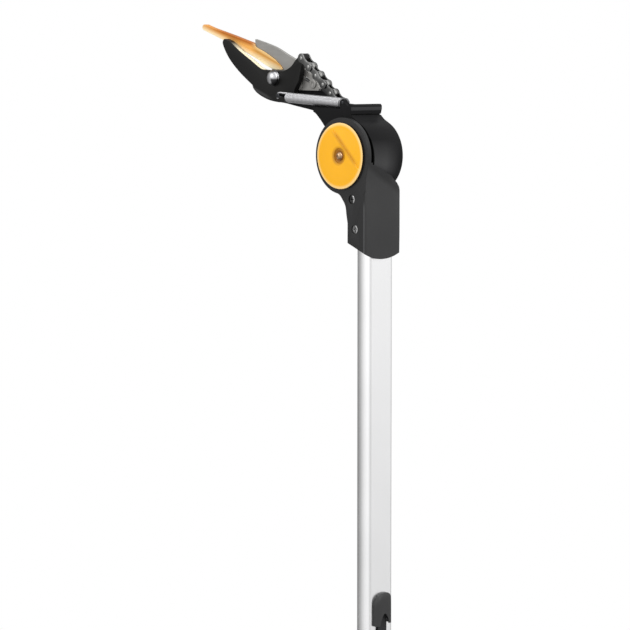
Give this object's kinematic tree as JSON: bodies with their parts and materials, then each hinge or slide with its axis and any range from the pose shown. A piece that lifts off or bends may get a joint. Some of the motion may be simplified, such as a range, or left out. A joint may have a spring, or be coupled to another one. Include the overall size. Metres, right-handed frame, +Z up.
{
  "type": "tree pruner pole",
  "caption": "Pole tree pruner: hook jaw and guarded fixed blade on a tilting head, closed by a strap and chain over a pulley, with return spring, oval tube and sliding pull handle.",
  "frame": {"origin": "centre of the flat foot of the butt cap, on the tube's axis", "axes": "+Z up along the tube to the head, -X the way the cutting head points, -Y the knob's side"},
  "size_m": [0.2639, 0.0571, 1.5794],
  "materials": {
    "pole_alu": "satin anodised tube",
    "socket_black": "fine-grained moulded nylon",
    "head_black": "fine-grained moulded nylon",
    "knob_orange": "smooth moulded plastic",
    "guard_orange": "soft moulded plastic",
    "jaw_black": "satin coated steel",
    "blade_steel": "ground blade steel",
    "fastener_steel": "zinc plated",
    "bolt_chrome": "polished",
    "chain_steel": "oiled steel",
    "spring_steel": "bright drawn wire",
    "strap_web": "flat woven webbing",
    "rubber_black": "matt moulded rubber",
    "bush_brass": "machined",
    "pulley_grey": "moulded acetal"
  },
  "bodies": {
    "pole": {"pole_tube": "pole_alu", "butt_cap": "rubber_black", "pole_socket": "socket_black", "socket_screws": "fastener_steel", "hinge_bolt": "fastener_steel", "hinge_washer": "fastener_steel", "hinge_nut": "fastener_steel", "tooth_ring": "socket_black", "outlet_hood": "socket_black"},
    "knob": {"lock_knob": "knob_orange", "knob_screw": "fastener_steel"},
    "head": {"head_frame": "head_black", "drum_cover": "head_black", "cover_screws": "fastener_steel", "cutting_blade": "blade_steel", "blade_screws": "fastener_steel", "pivot_bolt": "bolt_chrome", "pivot_nut": "fastener_steel", "pivot_washer": "fastener_steel", "frame_spring_post": "fastener_steel"},
    "pulley": {"strap_pulley": "pulley_grey", "pulley_bush": "bush_brass"},
    "jaw": {"hook_jaw": "jaw_black", "jaw_bush": "bush_brass", "jaw_spring_post": "fastener_steel"},
    "chain": {"chain_inner_links": "chain_steel", "chain_outer_links": "chain_steel", "chain_pins": "fastener_steel", "chain_rollers": "chain_steel", "strap_clip": "chain_steel", "clip_pin": "fastener_steel"},
    "spring": {"return_spring": "spring_steel"},
    "guard": {"blade_guard": "guard_orange"},
    "handle": {"handle_core": "knob_orange", "handle_grip": "rubber_black", "strap_ferrule": "fastener_steel", "pull_strap": "strap_web"}
  },
  "joints": [
    {"name": "head_tilt", "type": "hinge", "parent": "pole", "child": "head", "pos_m": [-0.018, 0, 1.46], "axis": [0, 1, 0], "range_deg": [-90, 12], "deforming": ["pull_strap"]},
    {"name": "knob_turn", "type": "hinge", "parent": "pole", "child": "knob", "pos_m": [-0.018, 0, 1.46], "axis": [0, -1, 0], "range_deg": [0, 90]},
    {"name": "handle_pull", "type": "slide", "parent": "pole", "child": "handle", "axis": [0, 0, 1], "range_m": [-0.0052, 0.0186], "deforming": ["pull_strap", "return_spring"]},
    {"name": "jaw_swing", "type": "hinge", "parent": "head", "child": "jaw", "pos_m": [-0.1342, 0, 1.5291], "axis": [0, -1, 0], "range_deg": [-8, 27], "deforming": ["return_spring"]},
    {"name": "chain_swing", "type": "hinge", "parent": "jaw", "child": "chain", "pos_m": [-0.0952, 0, 1.5479], "axis": [0, -1, 0], "range_deg": [-29, 8.5], "deforming": ["pull_strap"]},
    {"name": "spring_swing", "type": "hinge", "parent": "head", "child": "spring", "pos_m": [-0.027, -0.0107, 1.508], "axis": [0, -1, 0], "range_deg": [-6, 2], "deforming": ["return_spring"]},
    {"name": "pulley_turn", "type": "hinge", "parent": "pole", "child": "pulley", "pos_m": [-0.018, 0, 1.46], "axis": [0, 1, 0], "range_deg": [-55, 16]},
    {"name": "guard_slide", "type": "slide", "parent": "head", "child": "guard", "axis": [-0.9703, 0, 0.2419], "range_m": [0, 0.115]}
  ],
  "couplings": [
    {"joint": "jaw_swing", "follows": "handle_pull", "rad_per_m": 24.394},
    {"joint": "chain_swing", "follows": "handle_pull", "rad_per_m": -26.764},
    {"joint": "spring_swing", "follows": "handle_pull", "rad_per_m": -5.424},
    {"joint": "pulley_turn", "follows": "handle_pull", "rad_per_m": -50.633}
  ]
}
